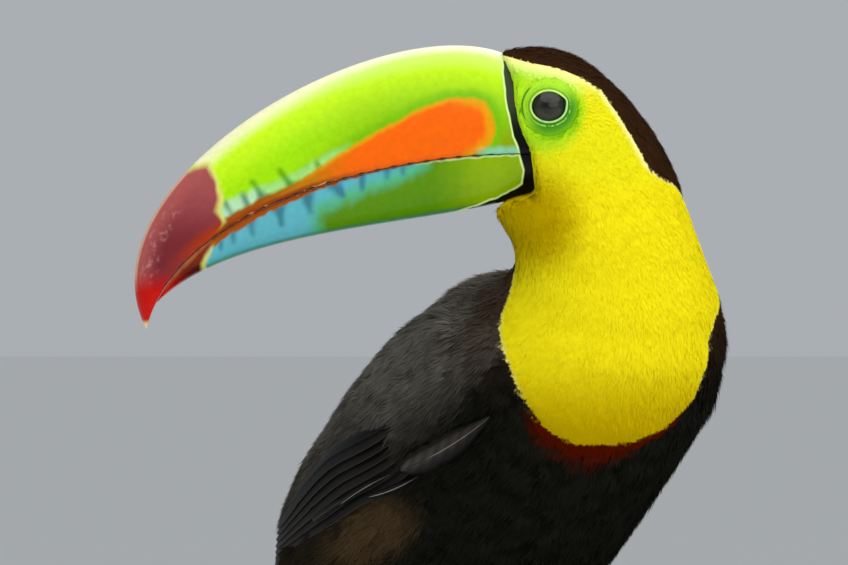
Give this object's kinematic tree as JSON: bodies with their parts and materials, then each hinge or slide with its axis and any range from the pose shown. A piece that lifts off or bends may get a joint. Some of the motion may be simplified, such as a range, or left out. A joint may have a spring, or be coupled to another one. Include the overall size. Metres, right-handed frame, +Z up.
{
  "type": "keel-billed toucan model",
  "caption": "Life-size keel-billed toucan, head turned in profile over a black body, gripping a cut perch on a plain display stand.",
  "frame": {"origin": "middle of the stand's flat underside", "axes": "+Z up; the bill points along -X, and the breast faces between -Y and +X, 32 degrees off -Y"},
  "size_m": [0.2112, 0.258, 0.3723],
  "materials": {
    "plumage_black": "soft black feathers with a brown cast",
    "plumage_yellow": "smooth short yellow feathers",
    "plumage_white": "soft white feathers",
    "plumage_red": "loose red feathers",
    "bill_horn": "polished horn in green, orange, blue and maroon",
    "eye": "wet dark eye",
    "leg_scale": "blue-grey scaled skin",
    "claw_horn": "dark horn",
    "bark": "rough bark with pale cut ends",
    "stand_wood": "dark satin varnish",
    "stand_steel": "brushed"
  },
  "bodies": {
    "root": {"bill_lower": "bill_horn", "bill_upper": "bill_horn", "coverts_over_tail": "plumage_white", "coverts_under_tail": "plumage_red", "eye_left": "eye", "eye_right": "eye", "flight_left": "plumage_black", "flight_right": "plumage_black", "head": "plumage_yellow", "left_claw_1": "claw_horn", "left_claw_2": "claw_horn", "left_claw_3": "claw_horn", "left_claw_4": "claw_horn", "left_toe_1": "leg_scale", "left_toe_2": "leg_scale", "left_toe_3": "leg_scale", "left_toe_4": "leg_scale", "neck": "plumage_yellow", "perch": "bark", "right_claw_1": "claw_horn", "right_claw_2": "claw_horn", "right_claw_3": "claw_horn", "right_claw_4": "claw_horn", "right_toe_1": "leg_scale", "right_toe_2": "leg_scale", "right_toe_3": "leg_scale", "right_toe_4": "leg_scale", "shank_left": "leg_scale", "shank_right": "leg_scale", "stand_base": "stand_wood", "stand_rod_1": "stand_steel", "stand_rod_2": "stand_steel", "tail": "plumage_black", "thigh_left": "plumage_black", "thigh_right": "plumage_black", "trunk": "plumage_black", "wing_left": "plumage_black", "wing_right": "plumage_black"}
  },
  "joints": []
}
